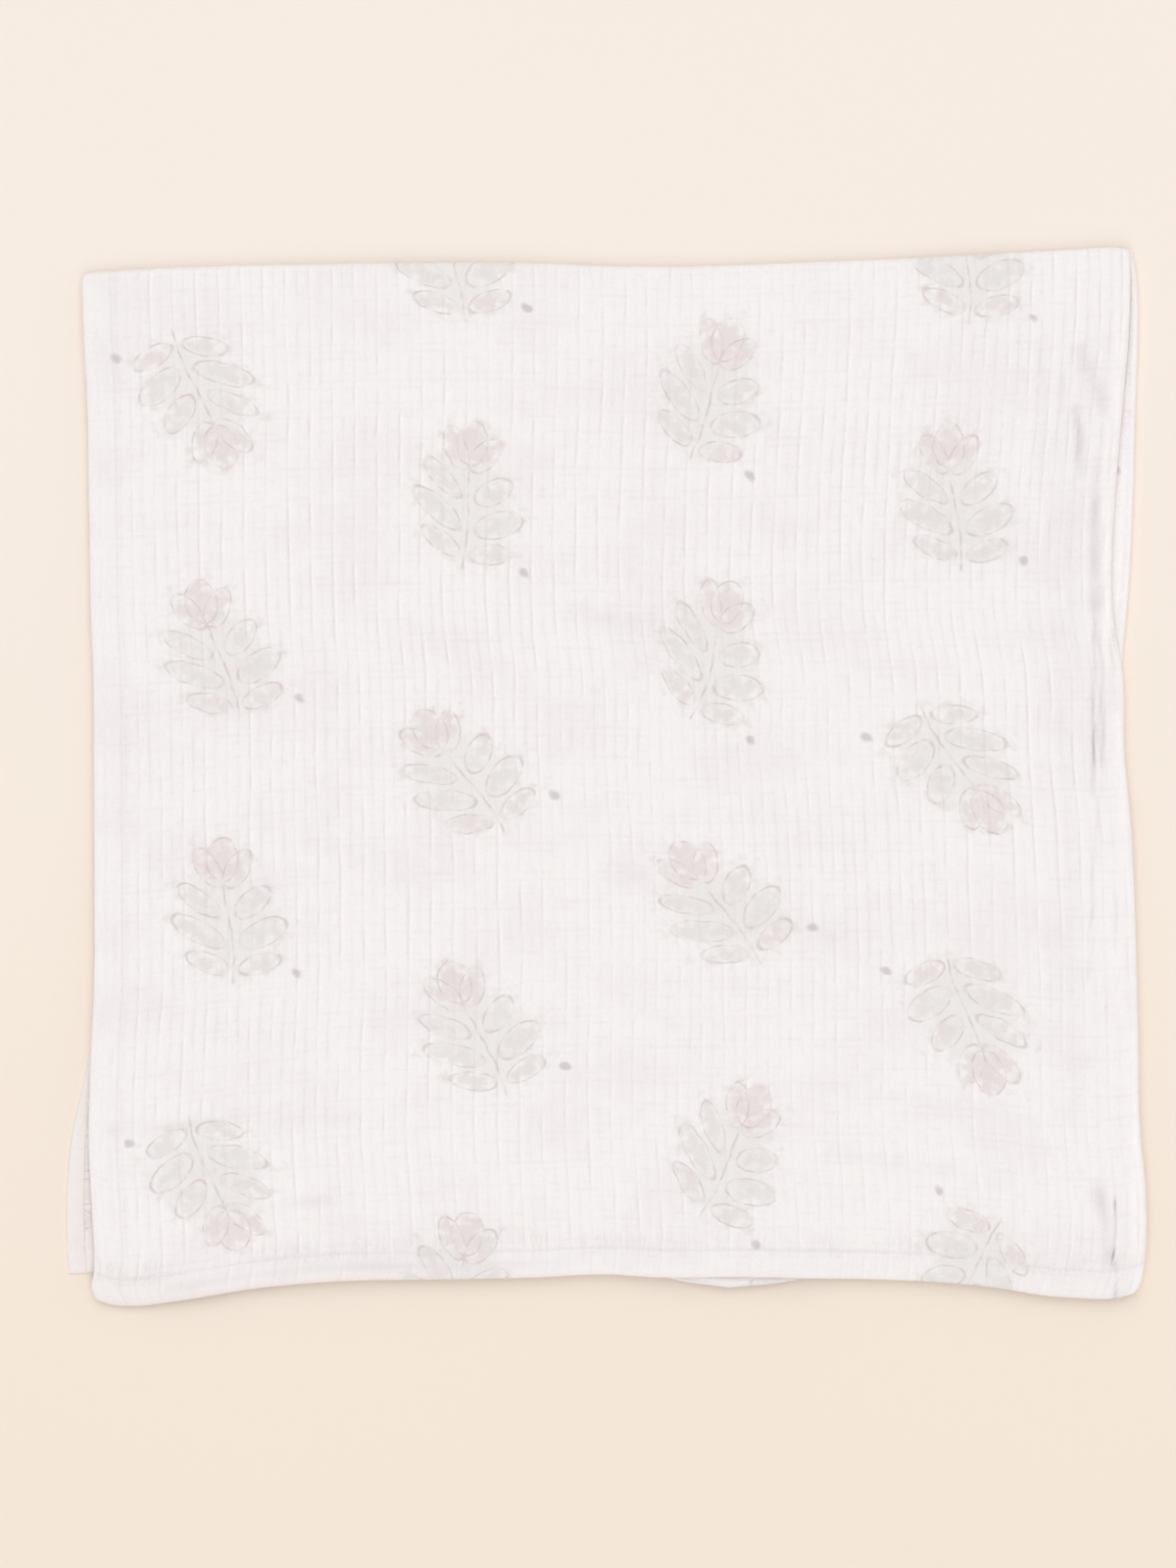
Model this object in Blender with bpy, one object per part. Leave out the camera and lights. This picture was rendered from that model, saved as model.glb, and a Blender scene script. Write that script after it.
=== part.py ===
"""Swaddle blanket: a square of double-gauze muslin, hemmed all round and folded in quarters to lie flat.

The cloth is one sheet. Its first fold is the right-hand side, which brings the right half under the left
half. Its second fold is the top side, which brings the upper half under the lower half. So the right side
shows two soft folds, one above the other, the top side shows one fold that wraps round the others, and the
hemmed edges of all four layers lie at the left and at the bottom.

Layers count from 0 on the floor to 3 on top. +X is to the right, +Y towards the top fold, +Z up, and the
origin is under the middle of the folded blanket.
"""

import math
from collections import namedtuple

import bmesh
import bpy
import numpy as np

MM = 0.001

# Driving sizes, in millimetres.
HALF_WIDTH, HALF_LENGTH = 592.0, 585.0  # one quarter of the cloth, which is what shows when it is folded
CLOTH = 1.4  # one layer of the crinkled cloth
LAYER_PITCH = 2.4  # from the middle of one layer to the middle of the next
SLACK, SLACK_LENGTH = 0.2, 560.0  # how far that pitch varies, and over what length
TOP_LAYER = 3
HEM_WIDTH = 16.0
HEM_EXTRA = 0.25  # what the turned-in hem adds to each face of the cloth
HEM_ROUND = 5.0  # from the edge to the full thickness of the hem
EDGE_THIN = 0.35  # how much each face of the hem rounds in at its edge
STITCH_DIP = 0.3  # how far the row of stitches pulls each face in
STITCH_HALF_WIDTH = 2.0
PUCKER_PITCH = 12.8  # between the sewn-down lines of the crinkle, which run along Y
PUCKER_RELIEF = 0.22  # how far a pucker stands above, and its line sinks below, the cloth's face
PUCKER_WEAKEST = 0.4  # of that relief, where the crinkle lies flattest
PATCH_X, PATCH_Y = 130.0, 210.0  # the crinkle is stronger and weaker in patches this far apart
WANDER, WANDER_LENGTH = 1.2, 170.0  # how far the crinkle's lines stray to the side, and over what length
ROW_PITCH = 31.0
UNDER_PITCH_X, UNDER_PITCH_Y = 36.0, 72.0  # spacing of the lines in the layers that lie underneath
INNER_EVERY = 5  # the hidden inner face keeps one in this many of the crinkle's lines
CREASE_ZONE = 42.0  # beside the right fold, where creases take the place of the crinkle
TURN_STEPS = 6  # flats round each fold

RIGHT_RADIUS = LAYER_PITCH / 2  # of the cloth's middle, round the right fold
TOP_RADIUS = LAYER_PITCH  # of the line between each pair of layers, round the top fold
RIGHT_REACH = RIGHT_RADIUS + CLOTH / 2
TOP_REACH = TOP_RADIUS + RIGHT_RADIUS + CLOTH / 2

# The sides at heights up the blanket: the left edge of each layer, and how far out the fold of the lower
# pair and that of the upper pair reach. Layers 0 and 1 slip out at the lower left, and the upper fold lies
# back from the lower one in the upper half.
Side = namedtuple("Side", "y left0 left1 left2 left3 lower_fold upper_fold")
SIDES = (
    Side(300, -299.0, -298.5, -298.5, -300.5, 302.0, 299.5),
    Side(288, -299.0, -298.3, -298.3, -300.0, 304.0, 299.8),
    Side(255, -297.8, -297.0, -297.2, -299.0, 304.9, 299.0),
    Side(220, -296.4, -295.6, -296.0, -297.1, 303.7, 296.2),
    Side(160, -294.6, -293.8, -294.4, -295.9, 302.1, 291.2),
    Side(120, -293.8, -293.2, -293.6, -295.3, 300.4, 289.2),
    Side(92, -293.0, -292.4, -292.8, -294.8, 298.2, 290.0),
    Side(60, -291.4, -290.8, -291.4, -293.4, 295.6, 295.4),
    Side(15, -291.2, -290.6, -291.0, -293.0, 294.6, 296.5),
    Side(-30, -291.0, -290.4, -291.0, -292.8, 297.4, 300.4),
    Side(-80, -290.8, -290.2, -291.0, -292.6, 300.2, 302.6),
    Side(-120, -291.4, -290.4, -291.0, -292.8, 301.6, 303.6),
    Side(-155, -295.8, -292.4, -291.2, -294.6, 302.6, 304.4),
    Side(-185, -301.8, -296.0, -291.4, -295.6, 303.0, 304.8),
    Side(-205, -306.3, -298.0, -291.6, -296.0, 303.4, 305.6),
    Side(-228, -308.6, -298.8, -291.4, -295.2, 304.6, 308.0),
    Side(-250, -309.5, -298.9, -291.0, -293.8, 305.6, 309.0),
    Side(-270, -309.1, -298.4, -290.6, -292.6, 306.0, 308.8),
    Side(-283, -307.9, -297.6, -290.8, -292.9, 305.0, 307.2),
    Side(-293, -306.8, -297.0, -291.2, -294.4, 302.0, 304.4),
    Side(-301, -306.0, -296.0, -290.0, -290.6, 298.0, 298.8),
)

# The ends at places across it: how far out the top fold reaches, and the bottom edge of each layer. Layer
# 2 shows for a hand's breadth right of the middle, and the lower left corner hangs lowest.
End = namedtuple("End", "x fold bottom0 bottom1 bottom2 bottom3")
ENDS = (
    End(-300, 288.2, -284.6, -283.6, -287.0, -295.0),
    End(-292, 288.8, -284.4, -283.4, -291.0, -299.2),
    End(-283, 289.6, -284.2, -283.2, -294.0, -302.2),
    End(-270, 290.4, -284.0, -283.0, -295.6, -302.9),
    End(-249, 291.4, -284.0, -283.0, -294.6, -300.3),
    End(-227, 292.2, -284.0, -283.0, -290.4, -296.8),
    End(-205, 292.8, -284.0, -283.0, -286.4, -293.1),
    End(-180, 293.3, -283.6, -282.6, -285.4, -290.3),
    End(-155, 293.7, -283.4, -282.4, -284.8, -288.4),
    End(-88, 294.6, -283.0, -282.0, -284.4, -287.2),
    End(-43, 294.1, -282.6, -281.6, -283.4, -286.2),
    End(0, 292.6, -281.4, -280.6, -282.0, -284.4),
    End(28, 292.2, -281.4, -280.6, -284.4, -285.8),
    End(43, 292.3, -281.6, -280.8, -288.2, -286.0),
    End(60, 292.6, -282.0, -281.2, -291.8, -285.8),
    End(80, 293.2, -282.0, -281.2, -291.6, -285.8),
    End(104, 294.2, -282.4, -281.6, -288.8, -286.2),
    End(128, 295.2, -283.0, -282.0, -284.8, -286.8),
    End(158, 296.2, -284.4, -283.2, -284.8, -287.4),
    End(192, 298.0, -286.0, -284.6, -286.4, -289.0),
    End(229, 300.0, -288.4, -287.0, -289.6, -293.0),
    End(250, 301.0, -290.4, -289.0, -292.6, -296.6),
    End(270, 302.1, -291.8, -290.4, -294.0, -298.0),
    End(292, 303.0, -292.4, -291.0, -294.4, -298.0),
    End(305, 301.0, -290.0, -289.0, -292.0, -294.4),
)

# Rolls, troughs and soft waves of the top layer: a line from one end to the other, how far each spreads to
# either side, and how much it lifts the layer, or lowers it if less than nothing.
Crease = namedtuple("Crease", "x0 y0 x1 y1 spread lift")
CREASES = (
    # The roll of the upper fold, and inside it the trough that closes into a tuck half way down.
    Crease(293, 280, 284, 150, 7, 1.0),
    Crease(285, 140, 286, 80, 5, 1.1),
    Crease(286, 76, 285, 8, 4, 2.0),
    Crease(288, -10, 291, -110, 7, 0.9),
    Crease(297, -120, 299, -270, 9, 1.6),
    Crease(276, 212, 264, 176, 6, 0.8),
    Crease(272, 160, 272, 90, 6, 0.8),
    Crease(272, 76, 270, 8, 6, 1.3),
    Crease(271, -10, 268, -110, 7, 0.7),
    Crease(276, -220, 281, -285, 7, 0.9),
    Crease(279, 178, 279, 10, 3, -0.4),
    # Broad waves across the lower part, where the crinkle is pressed out.
    Crease(-262, -182, -70, -204, 26, 1.2),
    Crease(-230, -256, 60, -268, 22, 0.8),
    Crease(85, -172, 250, -204, 28, 1.2),
    Crease(60, -58, 230, -96, 34, 0.9),
    Crease(-230, 40, -110, -60, 40, 0.8),
    Crease(-60, 190, 120, 160, 45, 0.6),
    # The lower left corner, and the hem right of the middle, stand off what is under them.
    Crease(-282, -268, -240, -294, 28, 2.0),
    Crease(42, -290, 118, -290, 24, 1.4),
)

MUSLIN_COLOUR = (0.90, 0.865, 0.855, 1.0)
MUSLIN_ROUGHNESS = 0.9


def smooth(stations, values, at):
    """The values carried smoothly between their stations, and held level past the first and last."""
    order = np.argsort(stations)
    stations = np.asarray(stations, float)[order]
    values = np.asarray(values, float)[order]
    slopes = np.gradient(values, stations)
    at = np.clip(at, stations[0], stations[-1])
    index = np.clip(np.searchsorted(stations, at) - 1, 0, len(stations) - 2)
    span = stations[index + 1] - stations[index]
    t = (at - stations[index]) / span
    from_start = values[index] + t * (t * (3 - 2 * t)) * (values[index + 1] - values[index])
    bend = slopes[index] * (1 - t) - slopes[index + 1] * t
    return from_start + t * (1 - t) * span * bend


def column_of(table, name, at):
    """One named column of a table, at places along the table's first column."""
    return smooth([row[0] for row in table], [getattr(row, name) for row in table], at)


def at_layer(layer, *by_layer):
    """What holds at a layer height from 0 to 3, between what holds at each of the four layers."""
    weights = [np.clip(1 - abs(layer - number), 0, 1) for number in range(TOP_LAYER + 1)]
    return sum(weight * values for weight, values in zip(weights, by_layer))


def lift_at(x, y):
    """How far the rolls, troughs and waves lift the top layer at a place."""
    total = np.zeros_like(x)
    for crease in CREASES:
        run = np.array((crease.x1 - crease.x0, crease.y1 - crease.y0), float)
        share = ((x - crease.x0) * run[0] + (y - crease.y0) * run[1]) / (run @ run)
        share = np.clip(share, 0, 1)
        away = np.hypot(x - crease.x0 - share * run[0], y - crease.y0 - share * run[1])
        total += crease.lift * np.exp(-((away / crease.spread) ** 2))
    return total


# A line of points along the cloth: its share of the way from the fold out to the free edge, the angle gone
# round the fold, the hem there (1 on it, 0 off it, -1 at its stitches), the pucker, and whether the faces
# that don't show have this line too.
Line = namedtuple("Line", "arm turn hem pucker kept")


def arm_lines(length, pitch, turn, crinkled=False):
    """Lines from the free edge to the fold on one arm of the cloth. The lower arm's stitches don't show."""
    stitches = HEM_WIDTH - STITCH_HALF_WIDTH
    plain = HEM_WIDTH + STITCH_HALF_WIDTH
    lines = [Line(1.0, turn, 0, 0, True), Line(1 - HEM_ROUND / length, turn, 1, 0, True)]
    if turn == 0:
        lines.append(Line(1 - stitches / length, turn, 1, 0, True))
        lines.append(Line(1 - HEM_WIDTH / length, turn, -1, 0, True))
    lines.append(Line(1 - plain / length, turn, 0, 0, True))
    steps = round((length - plain) / pitch)
    step_share = (1 - plain / length) / steps
    for left in reversed(range(steps)):
        arm = left * step_share
        if not crinkled:
            lines.append(Line(arm, turn, 0, 0, True))
        elif arm * length < CREASE_ZONE:
            lines.append(Line(arm + step_share / 2, turn, 0, 0, False))
            lines.append(Line(arm, turn, 0, 0, True))
        else:
            lines.append(Line(arm, turn, 0, 1 if left % 2 else -1, left % INNER_EVERY == 0))
    return lines


def sheet_lines(length, pitch, under_pitch, crinkled=False):
    """Every line of the cloth in one direction: in along the upper arm, round the fold and back out."""
    angles = [math.pi * step / TURN_STEPS for step in range(1, TURN_STEPS)]
    turn = [Line(0.0, angle, 0, 0, True) for angle in angles]
    back = arm_lines(length, under_pitch, math.pi)
    return arm_lines(length, pitch, 0.0, crinkled) + turn + back[::-1]


def cloth_points(columns, rows, face):
    """Points of one face of the cloth: face is 1 for its outer face and -1 for its inner one."""
    column_arm, row_arm = np.meshgrid([line.arm for line in columns], [line.arm for line in rows])
    column_turn, row_turn = np.meshgrid([line.turn for line in columns], [line.turn for line in rows])
    column_hem, row_hem = np.meshgrid([line.hem for line in columns], [line.hem for line in rows])
    pucker = np.tile([line.pucker for line in columns], (len(rows), 1))

    from_pair = RIGHT_RADIUS * np.cos(column_turn)
    layer = (TOP_RADIUS + from_pair) * np.cos(row_turn) / LAYER_PITCH + TOP_LAYER / 2
    x = HALF_WIDTH / 2 * (1 - 2 * column_arm)
    for _ in range(3):  # each outline is read at the place where the other puts the point
        bottom = at_layer(layer, *(column_of(ENDS, f"bottom{number}", x) for number in range(4)))
        fold_y = column_of(ENDS, "fold", x) - TOP_REACH
        y = fold_y + (bottom - fold_y) * row_arm + (TOP_RADIUS + from_pair) * np.sin(row_turn)
        left = at_layer(layer, *(column_of(SIDES, f"left{number}", y) for number in range(4)))
        lower, upper = column_of(SIDES, "lower_fold", y), column_of(SIDES, "upper_fold", y)
        fold_x = at_layer(layer, lower, lower, upper, upper) - RIGHT_REACH
        x = fold_x + (left - fold_x) * column_arm + RIGHT_RADIUS * np.sin(column_turn)
    slack = SLACK * np.sin(2 * math.pi * (x + y) / SLACK_LENGTH)
    on_top = np.clip(layer - TOP_LAYER + 1, 0, 1)
    z = CLOTH / 2 + layer * (LAYER_PITCH + slack) + on_top * lift_at(x, y)

    facing_up = (1 + np.cos(row_turn)) / 2  # 1 on the upper pair, 0 on the lower one, which lies flat
    at_edge = (column_arm == 1) | (row_arm == 1)
    on_hem = np.maximum(column_hem, row_hem) == 1
    on_stitches = np.minimum(column_hem, row_hem) < 0
    relief = np.select([at_edge, on_hem, on_stitches], [-EDGE_THIN, HEM_EXTRA, -STITCH_DIP], 0.0)
    if face > 0:
        patch = np.sin(2 * math.pi * x / PATCH_X + np.sin(2 * math.pi * y / PATCH_Y))
        strength = PUCKER_WEAKEST + (1 - PUCKER_WEAKEST) * (1 + patch) / 2
        relief = facing_up * np.where(relief == 0, PUCKER_RELIEF * strength * pucker, relief)
    stray = WANDER * np.sin(2 * math.pi * y / WANDER_LENGTH + x / PATCH_X) * (1 - row_arm) * abs(pucker)
    out = face * (CLOTH / 2 + relief)
    out_x = np.sin(column_turn)
    out_y = np.cos(column_turn) * np.sin(row_turn)
    out_z = np.cos(column_turn) * np.cos(row_turn)
    return np.stack([x + stray + out * out_x, y + out * out_y, z + out * out_z], axis=-1) * MM


def bridge(mesh, near, far):
    """Faces between two rows of points, from each place that both rows have to the next such place."""
    shared = sorted(near.keys() & far.keys())
    for first, last in zip(shared, shared[1:]):
        along = [near[place] for place in near if first <= place <= last]
        back = [far[place] for place in far if first <= place <= last]
        mesh.faces.new(along + back[::-1])


def blanket_mesh():
    """The folded sheet as one closed solid: its outer face, its inner face and its four hemmed edges."""
    columns = sheet_lines(HALF_WIDTH, PUCKER_PITCH / 2, UNDER_PITCH_X, crinkled=True)
    rows = sheet_lines(HALF_LENGTH, ROW_PITCH, UNDER_PITCH_Y)
    kept = [place for place, line in enumerate(columns) if line.kept]

    mesh = bmesh.new()
    outer = {}
    inner = {}
    for number, (line, points) in enumerate(zip(rows, cloth_points(columns, rows, 1))):
        places = range(len(columns)) if line.turn < math.pi else kept  # the underside needs fewer
        outer[number] = {place: mesh.verts.new(points[place]) for place in places}
    for number, points in enumerate(cloth_points(columns, rows, -1)):
        inner[number] = {place: mesh.verts.new(points[place]) for place in kept}

    for skin in (outer, inner):
        for near, far in zip(list(skin.values()), list(skin.values())[1:]):
            bridge(mesh, near, far)
    for number in (0, len(rows) - 1):
        bridge(mesh, outer[number], inner[number])
    for place in (0, len(columns) - 1):
        edges = [{number: row[place] for number, row in skin.items()} for skin in (outer, inner)]
        bridge(mesh, *edges)
    bmesh.ops.triangulate(mesh, faces=mesh.faces)
    bmesh.ops.recalc_face_normals(mesh, faces=mesh.faces)
    made = bpy.data.meshes.new("blanket")
    mesh.to_mesh(made)
    mesh.free()
    return made


def muslin():
    """White cotton muslin with a faint warm tint."""
    material = bpy.data.materials.new("muslin")
    material.use_nodes = True
    shader = material.node_tree.nodes["Principled BSDF"]
    shader.inputs["Base Color"].default_value = MUSLIN_COLOUR
    shader.inputs["Roughness"].default_value = MUSLIN_ROUGHNESS
    shader.inputs["Metallic"].default_value = 0.0
    return material


def main():
    for old in list(bpy.data.objects):
        bpy.data.objects.remove(old)
    blanket = bpy.data.objects.new("blanket", blanket_mesh())
    blanket.data.materials.append(muslin())
    bpy.context.scene.collection.objects.link(blanket)


main()
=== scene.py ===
"""Swaddle blanket, dressed: one sheet of printed, crinkled muslin, hemmed all round and folded in quarters.

The sheet is built from lines that run up the blanket and lines that run across it. Each line knows how far it
lies from the cloth's free edge and how far round a fold. The folds place the lines in layers, the outline
tables shift each layer, and the crinkle, the creases and the hems give them their relief. The UV map is the
flat cloth, in metres. Layers count from 0 on the floor to 3 on top.
"""

import math
from collections import namedtuple
from functools import partialmethod

import bmesh
import bpy
import numpy as np
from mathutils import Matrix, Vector


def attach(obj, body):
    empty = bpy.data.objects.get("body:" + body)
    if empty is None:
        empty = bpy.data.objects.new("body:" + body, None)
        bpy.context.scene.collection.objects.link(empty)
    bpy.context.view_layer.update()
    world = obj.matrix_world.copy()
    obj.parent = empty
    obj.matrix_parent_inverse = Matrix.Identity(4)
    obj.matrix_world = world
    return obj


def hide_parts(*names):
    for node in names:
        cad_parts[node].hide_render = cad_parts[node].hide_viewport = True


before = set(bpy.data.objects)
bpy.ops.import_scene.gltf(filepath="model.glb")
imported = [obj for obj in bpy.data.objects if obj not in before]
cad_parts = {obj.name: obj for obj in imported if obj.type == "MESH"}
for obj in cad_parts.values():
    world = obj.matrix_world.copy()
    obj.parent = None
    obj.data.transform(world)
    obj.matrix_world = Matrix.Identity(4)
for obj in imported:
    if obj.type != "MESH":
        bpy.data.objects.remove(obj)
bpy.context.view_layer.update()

MM = 0.001
TAU = 2 * math.pi

# ---- sizes of the cloth, in millimetres

HALF_WIDTH, HALF_LENGTH = 592.0, 585.0  # one quarter of the cloth, which is what shows when it is folded
CLOTH = 1.4  # one layer of the crinkled cloth
THINNEST = 0.4  # what is left of it at the bottom of the deepest tucks
LAYER_PITCH = 2.4  # from the middle of one layer to the middle of the next
SLACK, SLACK_LENGTH = 0.2, 560.0  # how far that pitch varies, and over what length
TOP_LAYER = 3
RIGHT_RADIUS = LAYER_PITCH / 2  # of the cloth's middle, round the right fold
TOP_RADIUS = LAYER_PITCH  # of the line between each pair of layers, round the top fold
FLAT_WIDTH = 2 * HALF_WIDTH + math.pi * RIGHT_RADIUS
FLAT_LENGTH = 2 * HALF_LENGTH + math.pi * TOP_RADIUS
RIGHT_REACH = RIGHT_RADIUS + CLOTH / 2
TOP_REACH = TOP_RADIUS + RIGHT_RADIUS + CLOTH / 2

HEM_WIDTH = 16.0
HEM_EXTRA = 0.2  # what the turned-in hem adds to each face of the cloth
HEM_STEP = (-1.0, 1.5)  # where its extra thickness starts to go and is gone, from the row of stitches
HEM_ROUND = 2.4  # from the edge to the full thickness of the hem
EDGE_THIN = 0.45  # how much each face of the hem rounds in at its edge
STITCH_DIP, STITCH_SPREAD = 0.35, 1.3  # how far the row of stitches pulls each face in, and how widely
STITCH_PAINTED_SHADE = 0.49  # painted shade in the dip along the stitches
HEM_GATHER, HEM_GATHER_REACH = 0.55, 17.0  # height and reach of the puckers that the stitches draw up
HEM_GATHER_INWARD = 0.6  # their reach the other way, as a share of the hem's width
END_GATHER_LENGTH, SIDE_GATHER_LENGTH = 6.0, 13.0
ACROSS_HEM = 60.0  # over what distance from the edge the puckers and the curl change
END_SHIFT = 300.0  # where the bottom hem's puckers are read, so that they aren't those of the left hem
CRINKLE_ON_HEM = 0.5  # how much of the crinkle is left where the cloth is turned in
# The bottom hem curls up at its edge, most of all on the left, with a crease behind the curl.
CURL_HEIGHT, CURL_PLACE, CURL_SPREAD = 0.5, 3.0, 2.6
CURL_CREASE, CURL_CREASE_PLACE, CURL_CREASE_SPREAD = 0.45, 8.0, 3.2
CURL_START, CURL_END, CURL_LEAST = (30.0, 62.0), (190.0, 290.0), 0.15
CURL_LENGTH, CURL_FAINTEST, CURL_UNEVEN = 34.0, 0.6, (0.25, 0.6)
# Painted shade in the crease behind the curl.
CURL_CREASE_PAINTED_SHADE = 0.85
SETTLED, SETTLED_WITHIN = 0.13, 30.0  # how much closer the layers lie at their free edges, and within what
SHELTER_PAINTED_SHADOW, SHELTER_SHADOW_SPREAD = 0.6, 4.5  # painted shadow on a layer just past the left edge of the one on it, and how far it spreads
UNDERCUT_PAINTED_SHADOW, UNDERCUT_SHADOW_SPREAD = 2.9, 1.1  # painted shadow just past the bottom edge of the top layer, and how far it spreads

GROOVE_PITCH = 12.8  # between the sewn-down lines of the crinkle, which run along the cloth
GROOVE_DEPTH = 0.80
GROOVE_HALF_WIDTH = 0.6
LIP_HEIGHT, LIP_PLACE, LIP_HALF_WIDTH = 0.32, 1.5, 0.8  # the ridge that stands to one side of a groove
LIP_PAINTED_HIGHLIGHT = 1.15  # highlight painted on that ridge, beside the shade painted in the groove
BETWEEN_DEPTH = 0.62  # the finer grooves half way between, as a share of the main ones
FINE_SHIFT, FINE_STRETCH = 7, 1.3  # where the finer grooves read the noise that breaks off the main ones
PUFF_HEIGHT, PUFF_LENGTH, LEAST_PUFF = 0.5, 11.0, 0.3  # of the cloth between two grooves
WANDER, WANDER_LENGTH = 0.7, 48.0  # how far a groove strays to the side, and over what length along it
KINK, KINK_LENGTH = 0.35, 15.0  # the same, for its small kinks
STEADY_BY_HEM, STEADY_BY_FOLD = 14.0, 10.0  # how far from a hem and from a fold a groove strays freely
OUT_OF_STEP = 0.37  # how far each groove runs ahead of its neighbour
TIE_PITCH = 16.8  # between the crossways threads that tie the gauze's two layers together
TIE_SPREAD, TIE_FLATTENS = 2.6, 0.6  # how far to either side such a thread flattens a groove, and how much
BREAK_LENGTH, LEAST_GROOVE = 13.0, 0.30  # how often a groove breaks off, and what is left of it there
BREAK_RANGE = (0.25, 0.75)
PATCH_X, PATCH_Y = 105.0, 150.0  # size of the patches where the crinkle is stronger or weaker
PATCH_LEAST, PATCH_MORE, PATCH_RANGE = 0.5, 0.42, (0.2, 0.75)
PRESSED, PRESSED_END = 0.85, (90.0, 230.0)  # what is left of it near the bottom edge, and where that ends

# The sides at heights up the blanket: the left edge of each layer, and how far out the fold of the lower
# pair and that of the upper pair reach.
Side = namedtuple("Side", "y left0 left1 left2 left3 lower_fold upper_fold")
SIDES = (
    Side(300, -299.0, -298.5, -298.5, -300.5, 302.0, 299.5),
    Side(288, -299.0, -298.3, -298.3, -300.0, 304.0, 299.8),
    Side(255, -297.8, -297.0, -297.2, -299.0, 304.9, 299.0),
    Side(220, -296.4, -295.6, -296.0, -297.1, 303.7, 296.2),
    Side(160, -294.6, -293.8, -294.4, -295.9, 302.1, 291.2),
    Side(120, -293.8, -293.2, -293.6, -295.3, 300.4, 289.2),
    Side(92, -293.0, -292.4, -292.8, -294.8, 298.2, 290.0),
    Side(60, -291.4, -290.8, -291.4, -293.4, 295.6, 295.4),
    Side(15, -291.2, -290.6, -291.0, -293.0, 294.6, 296.5),
    Side(-30, -291.0, -290.4, -291.0, -292.8, 297.4, 300.4),
    Side(-80, -290.8, -290.2, -291.0, -292.6, 300.2, 302.6),
    Side(-120, -291.4, -290.4, -291.0, -292.8, 301.6, 303.6),
    Side(-155, -295.8, -292.4, -291.2, -294.6, 302.6, 304.4),
    Side(-185, -301.8, -296.0, -291.4, -295.6, 303.0, 304.8),
    Side(-205, -306.3, -298.0, -291.6, -296.0, 303.4, 305.6),
    Side(-228, -308.6, -298.8, -291.4, -295.2, 304.6, 308.0),
    Side(-250, -309.5, -298.9, -291.0, -293.8, 305.6, 309.0),
    Side(-270, -309.1, -298.4, -290.6, -292.6, 306.0, 308.8),
    Side(-283, -307.9, -297.6, -290.8, -292.9, 305.0, 307.2),
    Side(-293, -306.8, -297.0, -291.2, -294.4, 302.0, 304.4),
    Side(-301, -306.0, -296.0, -290.0, -290.6, 298.0, 298.8),
)

# The ends at places across it: how far out the top fold reaches, and the bottom edge of each layer.
End = namedtuple("End", "x fold bottom0 bottom1 bottom2 bottom3")
ENDS = (
    End(-300, 288.2, -284.6, -283.6, -287.0, -295.0),
    End(-292, 288.8, -284.4, -283.4, -291.0, -299.2),
    End(-283, 289.6, -284.2, -283.2, -294.0, -302.2),
    End(-270, 290.4, -284.0, -283.0, -295.6, -302.9),
    End(-249, 291.4, -284.0, -283.0, -294.6, -300.3),
    End(-227, 292.2, -284.0, -283.0, -290.4, -296.8),
    End(-205, 292.8, -284.0, -283.0, -286.4, -293.1),
    End(-180, 293.3, -283.6, -282.6, -285.4, -290.3),
    End(-155, 293.7, -283.4, -282.4, -284.8, -288.4),
    End(-88, 294.6, -283.0, -282.0, -284.4, -287.2),
    End(-43, 294.1, -282.6, -281.6, -283.4, -286.2),
    End(0, 292.6, -281.4, -280.6, -282.0, -284.4),
    End(28, 292.2, -281.4, -280.6, -284.4, -285.8),
    End(43, 292.3, -281.6, -280.8, -288.2, -286.0),
    End(60, 292.6, -282.0, -281.2, -291.8, -285.8),
    End(80, 293.2, -282.0, -281.2, -291.6, -285.8),
    End(104, 294.2, -282.4, -281.6, -288.8, -286.2),
    End(128, 295.2, -283.0, -282.0, -284.8, -286.8),
    End(158, 296.2, -284.4, -283.2, -284.8, -287.4),
    End(192, 298.0, -286.0, -284.6, -286.4, -289.0),
    End(229, 300.0, -288.4, -287.0, -289.6, -293.0),
    End(250, 301.0, -290.4, -289.0, -292.6, -296.6),
    End(270, 302.1, -291.8, -290.4, -294.0, -298.0),
    End(292, 303.0, -292.4, -291.0, -294.4, -298.0),
    End(305, 301.0, -290.0, -289.0, -292.0, -294.4),
)

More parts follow.
